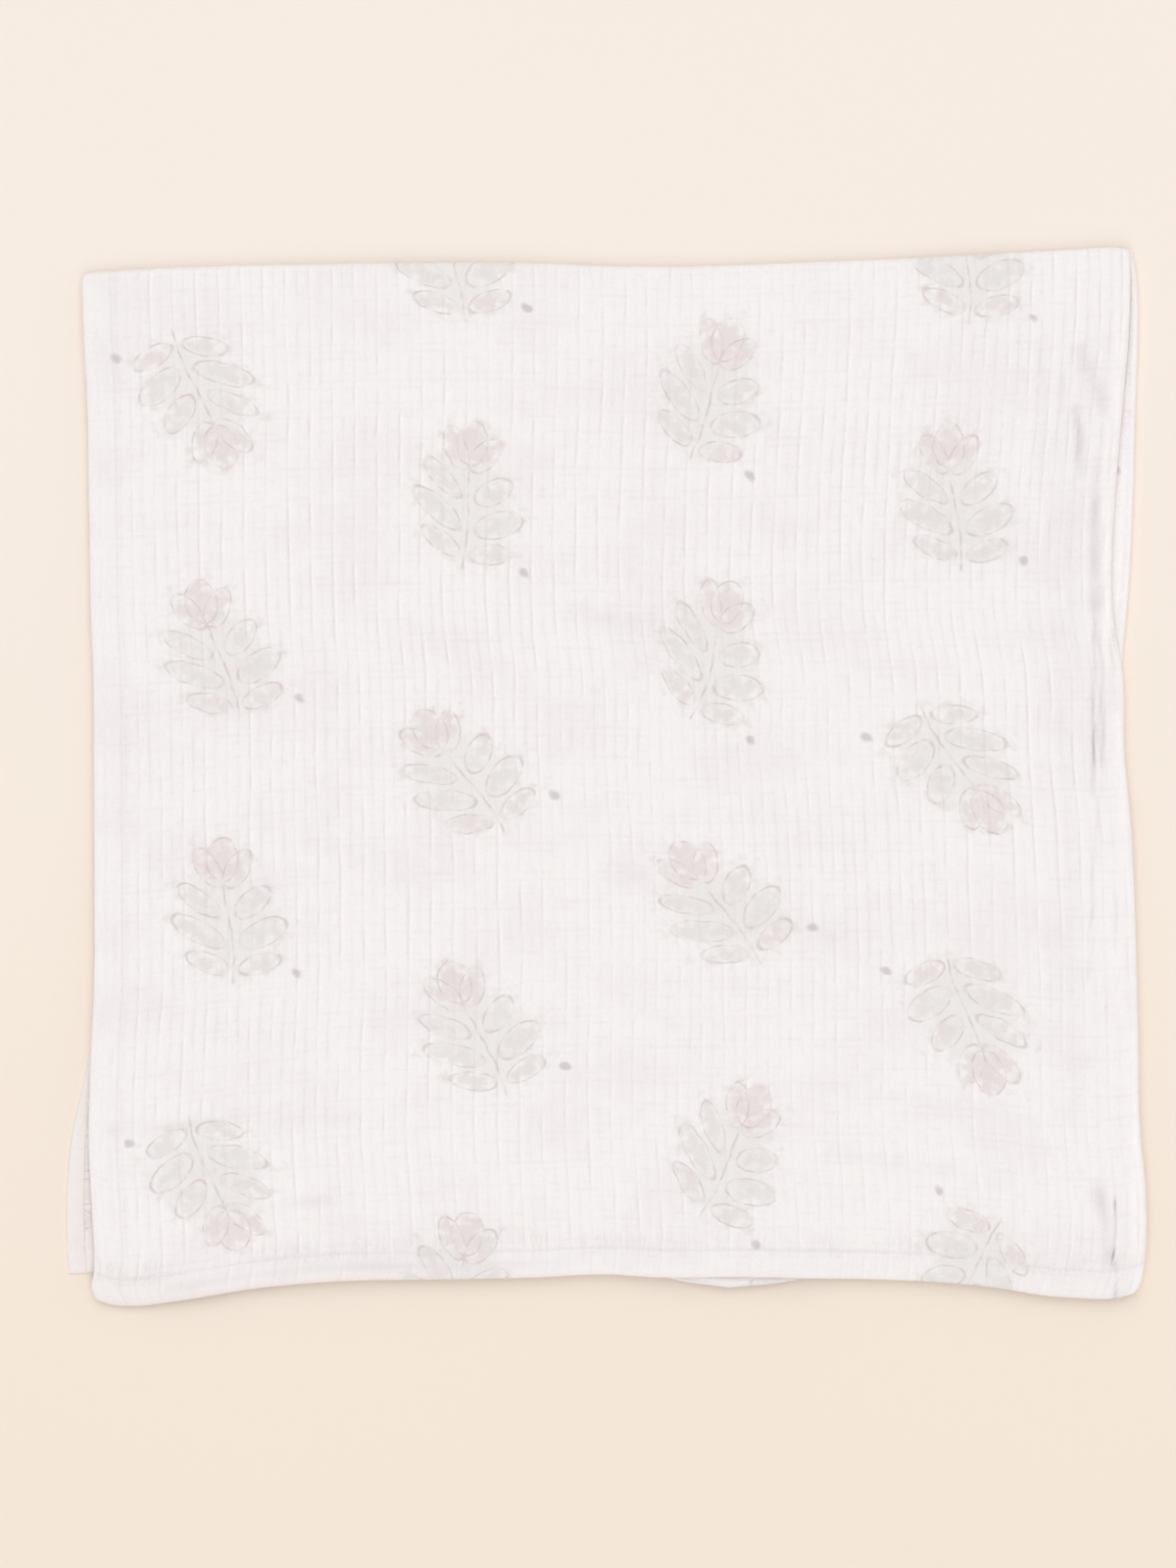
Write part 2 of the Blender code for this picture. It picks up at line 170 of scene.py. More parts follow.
# Rolls, troughs and soft waves of the top layer: a line from one end to the other, how far each spreads to
# either side, and how much it lifts the layer, or lowers it if less than nothing.
Crease = namedtuple("Crease", "x0 y0 x1 y1 spread lift")
CREASES = (
    # The roll of the upper fold, and inside it the trough that closes into a tuck half way down.
    Crease(293, 280, 284, 150, 7, 1.0),
    Crease(285, 140, 286, 80, 5, 1.1),
    Crease(286, 76, 285, 8, 4, 2.0),
    Crease(288, -10, 291, -110, 7, 0.9),
    Crease(297, -120, 299, -270, 9, 1.6),
    Crease(276, 212, 264, 176, 6, 0.8),
    Crease(272, 160, 272, 90, 6, 0.8),
    Crease(272, 76, 270, 8, 6, 1.3),
    Crease(271, -10, 268, -110, 7, 0.7),
    Crease(276, -220, 281, -285, 7, 0.9),
    Crease(279, 178, 279, 10, 3, -0.4),
    # Broad waves across the lower part, where the crinkle is pressed out.
    Crease(-268, -186, -120, -200, 13, 2.0),
    Crease(-150, -214, -20, -222, 11, 1.7),
    Crease(-262, -216, -190, -222, 9, 1.6),
    Crease(-230, -246, 60, -254, 12, 1.6),
    Crease(85, -176, 250, -204, 15, 2.0),
    Crease(120, -216, 262, -238, 12, 1.8),
    Crease(150, -252, 268, -260, 11, 1.3),
    Crease(60, -58, 230, -96, 20, 1.8),
    Crease(-230, 40, -110, -60, 28, 1.3),
    Crease(-250, -110, -120, -130, 18, 1.2),
    Crease(-60, 190, 120, 160, 36, 1.0),
    Crease(190, 232, 256, 130, 17, 1.1),
    # The lower left corner, and the hem right of the middle, stand off what is under them.
    Crease(-282, -268, -240, -294, 28, 2.0),
    Crease(30, -290, 112, -290, 20, 0.6),
)
PAIR_CREASE = Crease(36, -292, 108, -292, 18, 2.2)  # here the two upper layers stand up together

# Narrow tucks in the top layer, most of them beside the right fold, and lines where it is pressed: a line,
# half its width, its depth, and the shade painted in it. A ridge has less than nothing of the last two: light
# is painted on it.
Tuck = namedtuple("Tuck", "x0 y0 x1 y1 half_width depth dark")
TUCKS = (
    Tuck(260, 228, 261, 206, 2.2, 0.5, 0.7),
    Tuck(268, 212, 272, 172, 3.4, 0.9, 0.9),
    Tuck(280.5, 176, 279.5, 95, 4.4, 0.9, 0.9),
    Tuck(279, 85, 278.5, -8, 2.0, 0.9, 1.4),
    Tuck(282.5, 80, 283, -8, 1.4, 0.9, 0.9),
    Tuck(281, -12, 275, -116, 1.3, 0.5, 0.7),
    Tuck(291, -73, 291, -96, 1.2, 0.5, 0.8),
    Tuck(290, -240, 291, -298, 1.2, 0.7, 1.5),
    Tuck(280, -236, 289, -278, 5.0, 0.7, 0.9),
    Tuck(262, 200, 264, -190, 14.0, 0.3, 0.22),
    Tuck(-284, -201, -205, -196, 3.4, 0.3, 0.5),
    Tuck(-210, -197, -138, -194, 2.6, 0.2, 0.4),
    Tuck(-276, -227, -190, -224, 3.0, 0.3, 0.46),
    Tuck(-262, -240, -158, -242, 3.2, 0.3, 0.48),
    Tuck(4, -54, 128, -92, 8.0, 0.4, 0.36),
    Tuck(128, -213, 232, -232, 6.0, 0.3, 0.26),
    Tuck(118, -176, 246, -196, 4.5, 0.3, 0.2),
    Tuck(-205, -22, -102, -62, 9.0, 0.4, 0.22),
    Tuck(-16, 94, 20, 86, 8.0, 0.3, 0.3),
    Tuck(40, 232, 96, 200, 9.0, 0.3, 0.2),
    Tuck(-96, -262, -10, -264, 3.0, 0.2, 0.26),
    Tuck(249, 246, 250, 160, 5.0, 0.3, 0.35),
    Tuck(270, 246, 284, 214, 6.0, 0.3, 0.6),
    Tuck(289.5, 150, 290, 62, 1.6, 0.4, 0.7),
    # The ridge just inside the right fold, with light painted on it.
    Tuck(292, 262, 291, 205, 3.4, -0.3, -0.55),
    Tuck(286, 200, 285, 60, 3.0, -0.3, -0.6),
    Tuck(291, 36, 296, -70, 3.6, -0.3, -0.5),
    Tuck(290, -90, 294, -135, 4.6, -0.3, -0.4),
    Tuck(300, -146, 303, -290, 4.0, -0.3, -0.6),
)

TUCK_STRAY, TUCK_STRAY_LENGTH = 2.4, 15.0  # how far a tuck strays from its line, and over what length
TUCK_BREAK_LENGTH, TUCK_LEAST, TUCK_RANGE = 11.0, 0.4, (0.1, 0.9)  # how it grows deeper and shallower
# Where the lower fold reaches past the upper one, its strip stands up, most of all at its rim. The strip is
# painted in shade just beside the upper fold, and painted lighter past that. Each pair says over what
# distance one comes in.
UNCOVERED_FROM = (2, 6)
UNCOVERED_LIFT, LIFT_FROM = 1.2, (-2, 2)
UNCOVERED_PAINTED_LIGHT, PAINTED_LIGHT_FROM = 0.6, (1, 4)
RIM_LIFT, RIM_INSIDE, RIM_SPREAD = 1.5, 2.6, 1.7
VALLEY_SHADE, VALLEY_SPREAD = 0.55, 3.4
DROOP, DROOP_START = 0.32, 6.0  # how steeply the upper layers hang down past the ends of the lower ones

# ---- how the sheet is divided

HEM_LINES = (0.0, 0.8, 2.0, 3.2, 4.6, 5.6, 6.6, 8.5, 12.5, 14.8, 16.0, 17.2, 19.0)
GROOVE_LINES = (-5.7, -4.4, -2.6, -1.5, -0.7, 0.0, 0.7, 1.5, 2.6, 4.4, 5.7, 6.4)
KEPT_LINES = (0.0, 6.4)  # those of them that the faces underneath have too
FIRST_GROOVE = 2  # the grooves before it are in the hem
FOLD_CLEARANCE = 0.5  # from the last of these lines to the line at the fold
ROW_PITCH = 5.8
KEEP_ROW_EVERY = 3  # of the rows, one in so many goes on in the faces underneath
UNDER_PITCH_X, UNDER_PITCH_Y = 24.0, 15.0  # of the lines of the lower arms
FOLD_LINES = (1.2, 2.4, 3.6, 4.8, 6.5, 9.0, 13.0)  # further lines of the lower arms, just inside their fold
TURN_STEPS_X, TURN_STEPS_Y = 8, 10
NOISE_SIZE = 97  # values along each side of the table that a noise is read from


def ease(t):
    return t * t * (3 - 2 * t)


def ramp(low, high, value):
    """0 up to low, 1 from high on, and smooth between them."""
    return ease(np.clip((value - low) / (high - low), 0, 1))


def bell(distance, spread):
    """1 at no distance, and falling smoothly to nothing within a few spreads."""
    return np.exp(-((distance / spread) ** 2))


def smooth(stations, values, at):
    """The values carried smoothly between their stations, and held level past the first and last."""
    order = np.argsort(stations)
    stations = np.asarray(stations, float)[order]
    values = np.asarray(values, float)[order]
    slopes = np.gradient(values, stations)
    at = np.clip(at, stations[0], stations[-1])
    index = np.clip(np.searchsorted(stations, at) - 1, 0, len(stations) - 2)
    span = stations[index + 1] - stations[index]
    t = (at - stations[index]) / span
    bend = slopes[index] * (1 - t) - slopes[index + 1] * t
    return values[index] + ease(t) * (values[index + 1] - values[index]) + t * (1 - t) * span * bend


def column_of(table, name, at):
    """One named column of a table, at places along the table's first column."""
    return smooth([row[0] for row in table], [getattr(row, name) for row in table], at)


def at_layer(layer, *by_layer):
    """What holds at a layer height from 0 to 3, between what holds at each of the four layers."""
    weights = [np.clip(1 - abs(layer - number), 0, 1) for number in range(TOP_LAYER + 1)]
    return sum(weight * values for weight, values in zip(weights, by_layer))


def noise(across, along, seed):
    """Smooth noise from 0 to 1, with a new value at each whole step across and along."""
    table = np.random.default_rng(seed).random((NOISE_SIZE, NOISE_SIZE))
    column, row = np.floor(across).astype(int), np.floor(along).astype(int)
    a, b = ease(across - column), ease(along - row)

    def corner(i, j):
        return table[(column + i) % NOISE_SIZE, (row + j) % NOISE_SIZE]

    near = corner(0, 0) * (1 - a) + corner(1, 0) * a
    far = corner(0, 1) * (1 - a) + corner(1, 1) * a
    return near * (1 - b) + far * b


def distance_to(line, x, y):
    """How far a place is from the nearest point of a line."""
    run = np.array((line.x1 - line.x0, line.y1 - line.y0), float)
    share = np.clip(((x - line.x0) * run[0] + (y - line.y0) * run[1]) / (run @ run), 0, 1)
    return np.hypot(x - line.x0 - share * run[0], y - line.y0 - share * run[1])


def lift_at(x, y):
    """How far the rolls, troughs and waves lift the top layer at a place."""
    total = np.zeros_like(x)
    for crease in CREASES:
        total += crease.lift * bell(distance_to(crease, x, y), crease.spread)
    return total


# Lines of points along the cloth: each one's distance from the free edge of its arm, the angle gone round
# the fold, its place on the flat cloth, and whether the faces underneath have it too.
Lines = namedtuple("Lines", "edge turn flat kept")


def sheet_lines(half, out, out_kept, under_pitch, turn_steps, turn_radius):
    """Lines from a free edge of the cloth, up its upper arm, round the fold and back along its lower arm."""
    turn = [math.pi * step / turn_steps for step in range(1, turn_steps)]
    hem_end = HEM_LINES[-1]
    fold_start = half - FOLD_LINES[-1]
    steps = round((fold_start - hem_end) / under_pitch)
    back = [half, *(half - distance for distance in FOLD_LINES)]
    back += [fold_start - (fold_start - hem_end) * step / steps for step in range(1, steps)]
    back += reversed(HEM_LINES)
    around = turn_radius * math.pi
    flat = [*out, *(half + turn_radius * angle for angle in turn), *(2 * half + around - d for d in back)]
    return Lines(
        np.array([*out, *[half] * len(turn), *back]),
        np.array([*[0.0] * len(out), *turn, *[math.pi] * len(back)]),
        np.array(flat),
        np.array([*out_kept, *[True] * (len(turn) + len(back))]),
    )


def column_lines():
    """The lines that run up the blanket. They crowd in on each groove of the crinkle."""
    places = [(distance, True) for distance in HEM_LINES]
    groove = FIRST_GROOVE * GROOVE_PITCH
    while groove + GROOVE_LINES[0] < HALF_WIDTH:
        places += [(groove + offset, offset in KEPT_LINES) for offset in GROOVE_LINES]
        groove += GROOVE_PITCH
    places = [place for place in places if place[0] < HALF_WIDTH - FOLD_CLEARANCE] + [(HALF_WIDTH, True)]
    out, kept = zip(*places)
    return sheet_lines(HALF_WIDTH, out, kept, UNDER_PITCH_X, TURN_STEPS_X, RIGHT_RADIUS)


def row_lines():
    """The lines that run across the blanket, evenly but for the hem's."""
    hem_end = HEM_LINES[-1]
    steps = round((HALF_LENGTH - hem_end) / ROW_PITCH)
    out = [*HEM_LINES, *(hem_end + (HALF_LENGTH - hem_end) * step / steps for step in range(1, steps + 1))]
    kept = [True] * len(HEM_LINES) + [(steps - step) % KEEP_ROW_EVERY == 0 for step in range(1, steps + 1)]
    return sheet_lines(HALF_LENGTH, out, kept, UNDER_PITCH_Y, TURN_STEPS_Y, TOP_RADIUS)


# ---- relief of the cloth's faces


def groove_strength(across, along):
    """How deep the crinkle's grooves are, from 0 to 1: they break off, and fade in patches."""
    groove = across / GROOVE_PITCH
    broken = noise(groove, along / BREAK_LENGTH + OUT_OF_STEP * groove, seed=11)
    broken = LEAST_GROOVE + (1 - LEAST_GROOVE) * ramp(*BREAK_RANGE, broken)
    tie = along - np.round(along / TIE_PITCH) * TIE_PITCH
    broken = broken * (1 - TIE_FLATTENS * bell(tie, TIE_SPREAD))
    patch = PATCH_LEAST + PATCH_MORE * ramp(*PATCH_RANGE, noise(across / PATCH_X, along / PATCH_Y, seed=12))
    return broken * patch * (PRESSED + (1 - PRESSED) * ramp(*PRESSED_END, along))


def crinkle(across, along):
    """Height of the crinkle at a place on the flat cloth, and the shade painted there: how deep in a groove
    the place is, less a highlight painted on the ridge beside it.
    """
    groove = np.round(across / GROOVE_PITCH)
    offset = across - groove * GROOVE_PITCH
    between = GROOVE_PITCH / 2 - abs(offset)
    strength = groove_strength(groove * GROOVE_PITCH, along)
    half_way = (np.floor(across / GROOVE_PITCH) + 0.5) * GROOVE_PITCH
    fine = BETWEEN_DEPTH * groove_strength(half_way + FINE_SHIFT * GROOVE_PITCH, FINE_STRETCH * along)
    # How deep in a groove a place is: it lowers the cloth, and it is painted as shade.
    painted_shade = strength * bell(offset, GROOVE_HALF_WIDTH) + fine * bell(between, GROOVE_HALF_WIDTH)
    lip = strength * bell(offset - LIP_PLACE, LIP_HALF_WIDTH)
    crown = 0.5 - 0.5 * np.cos(TAU * across / GROOVE_PITCH)
    puff = noise(across / GROOVE_PITCH, along / PUFF_LENGTH, seed=13)
    puff = PUFF_HEIGHT * crown * (LEAST_PUFF + (1 - LEAST_PUFF) * puff)
    return puff + LIP_HEIGHT * lip - GROOVE_DEPTH * painted_shade, painted_shade - LIP_PAINTED_HIGHLIGHT * lip


def hem_relief(edge, along, gather_length, gathered):
    """Height that a hem adds at a distance from its edge, how much of that place is hem, and how much shade
    is painted on it in the row of stitches. Gathered, from 0 to 1, is how far the puckers stand out there."""
    hem = 1 - ramp(HEM_WIDTH + HEM_STEP[0], HEM_WIDTH + HEM_STEP[1], edge)
    rounding = (1 - ramp(0, HEM_ROUND, edge)) * (HEM_EXTRA + EDGE_THIN)
    dip = bell(edge - HEM_WIDTH, STITCH_SPREAD)
    past = np.clip(edge - HEM_WIDTH, 0, None) / HEM_GATHER_REACH
    before = np.clip(HEM_WIDTH - edge, 0, None) / (HEM_GATHER_INWARD * HEM_WIDTH)
    pucker = noise(along / gather_length, edge / ACROSS_HEM, seed=21) - 0.5
    gather = gathered * HEM_GATHER * pucker * np.exp(-past - before)
    return HEM_EXTRA * hem - rounding - STITCH_DIP * dip + gather, hem, dip**2 * (1 - pucker)


def curl_at(edge, along):
    """Height of the curl at the edge of the bottom hem, and how deep in the crease behind it a place is, for
    the shade painted there.
    """
    strength = CURL_LEAST + (1 - CURL_LEAST) * (1 - ramp(*CURL_END, along))
    strength = strength * ramp(*CURL_START, along)
    uneven = ramp(*CURL_UNEVEN, noise(along / CURL_LENGTH, edge / ACROSS_HEM, seed=23))
    strength = strength * (CURL_FAINTEST + (1 - CURL_FAINTEST) * uneven)
    curl = bell(edge - CURL_PLACE, CURL_SPREAD)
    crease = bell(edge - CURL_CREASE_PLACE, CURL_CREASE_SPREAD)
    return strength * (CURL_HEIGHT * curl - CURL_CREASE * crease), strength * crease


def tuck_at(x, y):
    """How deep the narrow tucks are at a place, and the shade painted in them, which on a ridge is painted
    light.
    """
    depth, dark = np.zeros_like(x), np.zeros_like(x)
    stray = TUCK_STRAY * (noise(x / TUCK_STRAY_LENGTH, y / TUCK_STRAY_LENGTH, seed=29) - 0.5)
    uneven = TUCK_LEAST + ramp(*TUCK_RANGE, noise(x / TUCK_STRAY_LENGTH, y / TUCK_BREAK_LENGTH, seed=31))
    for tuck in TUCKS:
        away = distance_to(tuck, x + stray, y + stray)
        near = bell(away, tuck.half_width)
        depth += tuck.depth * uneven * near
        dark += tuck.dark * uneven * near**2
    return depth, dark


def cloth_points(columns, rows, face):
    """Points of one face of the cloth, 1 for its outer face and -1 for its inner one, with the place of each
    on the flat cloth, and the shade painted on it in grooves, tucks, creases and shadows, or light below
    nothing."""
    flat_x, flat_y = np.meshgrid(columns.flat, rows.flat)
    column_turn, row_turn = np.meshgrid(columns.turn, rows.turn)
    column_edge, row_edge = np.meshgrid(columns.edge, rows.edge)

    inside = ramp(0, STEADY_BY_HEM, column_edge - HEM_WIDTH)
    inside = inside * ramp(0, STEADY_BY_FOLD, HALF_WIDTH - column_edge)
    groove = flat_x / GROOVE_PITCH
    stray = WANDER * (2 * noise(groove, flat_y / WANDER_LENGTH + OUT_OF_STEP * groove, seed=5) - 1)
    stray += KINK * (2 * noise(groove, flat_y / KINK_LENGTH + OUT_OF_STEP * groove, seed=6) - 1)
    stray *= inside
    column_arm = 1 - (column_edge + np.where(column_turn == 0, stray, -stray)) / HALF_WIDTH
    row_arm = 1 - row_edge / HALF_LENGTH

    from_pair = RIGHT_RADIUS * np.cos(column_turn)
    layer = (TOP_RADIUS + from_pair) * np.cos(row_turn) / LAYER_PITCH + TOP_LAYER / 2
    x = HALF_WIDTH / 2 * (1 - 2 * column_arm)
    for _ in range(3):  # each outline is read at the place where the other puts the point
        bottoms = [column_of(ENDS, f"bottom{number}", x) for number in range(TOP_LAYER + 1)]
        bottom = at_layer(layer, *bottoms)
        fold_y = column_of(ENDS, "fold", x) - TOP_REACH
        y = fold_y + (bottom - fold_y) * row_arm + (TOP_RADIUS + from_pair) * np.sin(row_turn)
        left = at_layer(layer, *(column_of(SIDES, f"left{number}", y) for number in range(TOP_LAYER + 1)))
        lower, upper = column_of(SIDES, "lower_fold", y), column_of(SIDES, "upper_fold", y)
        fold_x = at_layer(layer, lower, lower, upper, upper) - RIGHT_REACH
        x = fold_x + (left - fold_x) * column_arm + RIGHT_RADIUS * np.sin(column_turn)
    slack = SLACK * np.sin(TAU * (x + y) / SLACK_LENGTH)
    loose = ramp(0, SETTLED_WITHIN, np.minimum(column_edge, row_edge))
    pitch = (LAYER_PITCH + slack) * (1 - SETTLED * (1 - loose))
    on_top = np.clip(layer - TOP_LAYER + 1, 0, 1)
    z = CLOTH / 2 + layer * pitch + on_top * lift_at(x, y)
    pair_lift = PAIR_CREASE.lift * bell(distance_to(PAIR_CREASE, x, y), PAIR_CREASE.spread)
    z += at_layer(layer, 0, 0, pair_lift, pair_lift)
    uncovered = ramp(*UNCOVERED_FROM, lower - upper)
    rim = RIM_LIFT * bell(lower - RIM_INSIDE - x, RIM_SPREAD)
    raised = uncovered * (rim + UNCOVERED_LIFT * ramp(*LIFT_FROM, x - upper))
    # Painted shade on the strip just beside the upper fold, and painted light past it.
    strip_painted_light_and_shade = VALLEY_SHADE * bell(x - upper, VALLEY_SPREAD)
    strip_painted_light_and_shade = uncovered * (strip_painted_light_and_shade - UNCOVERED_PAINTED_LIGHT * ramp(*PAINTED_LIGHT_FROM, x - upper))
    z += at_layer(layer, 0, raised, 0, 0)
    past_ends = np.clip(np.minimum(bottoms[0], bottoms[1]) - y, 0, None)
    z -= at_layer(layer, 0, 0, 1, 1) * DROOP * past_ends**2 / (past_ends + DROOP_START)

    top_face = (column_turn == 0) * (1 + np.cos(row_turn)) / 2
    gathered = top_face * (face > 0)
    side_relief, side_hem, side_dip = hem_relief(column_edge, flat_y, SIDE_GATHER_LENGTH, gathered)
    end_relief, end_hem, end_dip = hem_relief(row_edge, flat_x + END_SHIFT, END_GATHER_LENGTH, gathered)
    off_hem = 1 - (1 - CRINKLE_ON_HEM) * np.maximum(side_hem, end_hem)
    in_hems = np.where(abs(side_relief) > abs(end_relief), side_relief, end_relief)
    crinkled, painted_shade = crinkle(flat_x, flat_y)
    depth, dark = tuck_at(x, y)
    curl, crease = curl_at(row_edge, flat_x)
    # Painted shade along the stitches, in the tucks, in the crease behind the curl and in the grooves.
    painted_stitch_shade = STITCH_PAINTED_SHADE * np.maximum(side_dip, end_dip)
    painted_shade = top_face * (off_hem * painted_shade + dark + painted_stitch_shade + CURL_CREASE_PAINTED_SHADE * crease)
    # Painted shadow on each lower layer, just past the left edge of the layer on it and past the bottom edge
    # of the top layer.
    for number in range(TOP_LAYER):
        beside = column_of(SIDES, f"left{number + 1}", y) - x
        below = column_of(ENDS, "bottom3", x) - y
        shelter_shadow = SHELTER_PAINTED_SHADOW * np.exp(-abs(beside) / SHELTER_SHADOW_SPREAD) * (beside > 0)
        undercut_shadow = UNDERCUT_PAINTED_SHADOW * np.exp(-abs(below) / UNDERCUT_SHADOW_SPREAD) * (below > 0)
        own = np.clip(1 - abs(layer - number), 0, 1)
        painted_shade = painted_shade + own * np.maximum(shelter_shadow, undercut_shadow)
    # The strip's painted shade and light, on the lower fold's upper layer.
    painted_shade += at_layer(layer, 0, strip_painted_light_and_shade, 0, 0)
    if face > 0:
        relief = in_hems + top_face * (off_hem * crinkled - depth + curl)
        relief = np.maximum(relief, THINNEST - CLOTH - in_hems)
        relief = np.where((column_turn == 0) & (row_turn == math.pi), 0, relief)  # the underside is flat
    else:
        relief = in_hems
    out = face * (CLOTH / 2 + relief)
    out_x = np.sin(column_turn)
    out_y = np.cos(column_turn) * np.sin(row_turn)
    out_z = np.cos(column_turn) * np.cos(row_turn)
    height = np.maximum(z + out * out_z, 0)  # nothing reaches below the floor
    points = np.stack([x + out * out_x, y + out * out_y, height], axis=-1) * MM
    places = np.stack([flat_x + stray, flat_y], axis=-1) * MM
    return points, places, painted_shade


def bridge(faces, near, far):
    """Faces between two rows of points, from each place that both rows have to the next such place."""
    shared = sorted(near.keys() & far.keys())
    for first, last in zip(shared, shared[1:]):
        if last == first + 1:
            faces.append((near[first], near[last], far[last], far[first]))
            continue
        along = [near[place] for place in range(first, last + 1) if place in near]
        back = [far[place] for place in range(last, first - 1, -1) if place in far]
        faces.append((*along, *back))


def map_flat(mesh, name, places):
    """A UV map that puts each point of a mesh at its own place."""
    corners = np.empty(len(mesh.loops), np.int32)
    mesh.loops.foreach_get("vertex_index", corners)
    mesh.uv_layers.new(name=name).data.foreach_set("uv", np.array(places)[corners].ravel())


def cloth_mesh():
    """The folded sheet as one closed surface: its outer face, its inner face and its four hemmed edges."""
    columns, rows = column_lines(), row_lines()
    all_places = list(range(len(columns.edge)))
    kept_places = [place for place in all_places if columns.kept[place]]
    points, places, painted_shade, faces = [], [], [], []

    def skin(face, row_numbers, chosen):
        made = {}
        grids = cloth_points(columns, rows, face)
        for number in row_numbers:
            picked = chosen(number)
            made[number] = dict(zip(picked, range(len(points), len(points) + len(picked))))
            for target, grid in zip((points, places, painted_shade), grids):
                target.extend(grid[number, picked])
        return made

    row_numbers = range(len(rows.edge))
    outer = skin(1, row_numbers, lambda number: all_places if rows.turn[number] < math.pi else kept_places)
    inner = skin(-1, [n for n in row_numbers if rows.kept[n]], lambda number: kept_places)
    for made in (outer, inner):
        ordered = list(made.values())
        for near, far in zip(ordered, ordered[1:]):
            bridge(faces, near, far)
    for number in (row_numbers[0], row_numbers[-1]):
        bridge(faces, outer[number], inner[number])
    for place in (all_places[0], all_places[-1]):
        bridge(faces, *[{number: row[place] for number, row in made.items()} for made in (outer, inner)])

    mesh = bpy.data.meshes.new("blanket_cloth")
    mesh.from_pydata(np.array(points).tolist(), [], faces)
    welded = bmesh.new()
    welded.from_mesh(mesh)
    bmesh.ops.recalc_face_normals(welded, faces=welded.faces)
    welded.to_mesh(mesh)
    welded.free()
    map_flat(mesh, "flat_cloth", places)
    # The shade painted on each point, and the light painted where it is below nothing, for the material.
    mesh.attributes.new("painted_shade", "FLOAT", "POINT").data.foreach_set("value", np.array(painted_shade))
    mesh.shade_smooth()
    return mesh


# ---- materials


def fill(node, inputs):
    """Give a shader node its inputs: a field or a socket is linked, and any other value is set."""
    for name, value in inputs.items():
        value = value.socket if isinstance(value, Field) else value
        if isinstance(value, bpy.types.NodeSocket):
            node.id_data.links.new(value, node.inputs[name])
        else:
            node.inputs[name].default_value = value


def made_node(tree, kind, inputs, **settings):
    """A new shader node, with its settings and its inputs."""
    node = tree.nodes.new(f"ShaderNode{kind}")
    for name, value in settings.items():
        setattr(node, name, value)
    fill(node, inputs)
    return node


class Field:
    """A value that varies over a surface. Arithmetic on it makes the shader nodes that work it out."""

    def __init__(self, tree, socket):
        self.tree = tree
        self.socket = socket

    def made(self, operation, *others):
        inputs = dict(enumerate((self, *others)))
        return Field(self.tree, made_node(self.tree, "Math", inputs, operation=operation).outputs[0])

    __add__ = __radd__ = partialmethod(made, "ADD")
    __sub__ = partialmethod(made, "SUBTRACT")
    __mul__ = __rmul__ = partialmethod(made, "MULTIPLY")
    __truediv__ = partialmethod(made, "DIVIDE")
    __abs__ = partialmethod(made, "ABSOLUTE")
    floor = partialmethod(made, "FLOOR")
    root = partialmethod(made, "SQRT")
    sine = partialmethod(made, "SINE")
    cosine = partialmethod(made, "COSINE")
    least = partialmethod(made, "MINIMUM")
    most = partialmethod(made, "MAXIMUM")
    over = partialmethod(made, "GREATER_THAN")

    def __rsub__(self, other):
        return self * -1.0 + other

    def wrapped(self, period):
        """The value less the nearest whole number of periods, from minus half a period to half."""
        return self - (self / period + 0.5).floor() * period

    def ramp(self, low, high):
        """0 at low, 1 at high, and smooth between them. High may be the lower of the two."""
        inputs = {"Value": self, "From Min": low, "From Max": high}
        node = made_node(self.tree, "MapRange", inputs, interpolation_type="SMOOTHSTEP")
        return Field(self.tree, node.outputs["Result"])


def length_of(x, y):
    return (x * x + y * y).root()


# A noise on the flat cloth: the size of its spots in millimetres, across the cloth and along it, its detail,
# its seed, and what becomes 0 and 1 where it is stretched to that range.
Spots = namedtuple("Spots", "across along detail seed low high", defaults=(None, None))


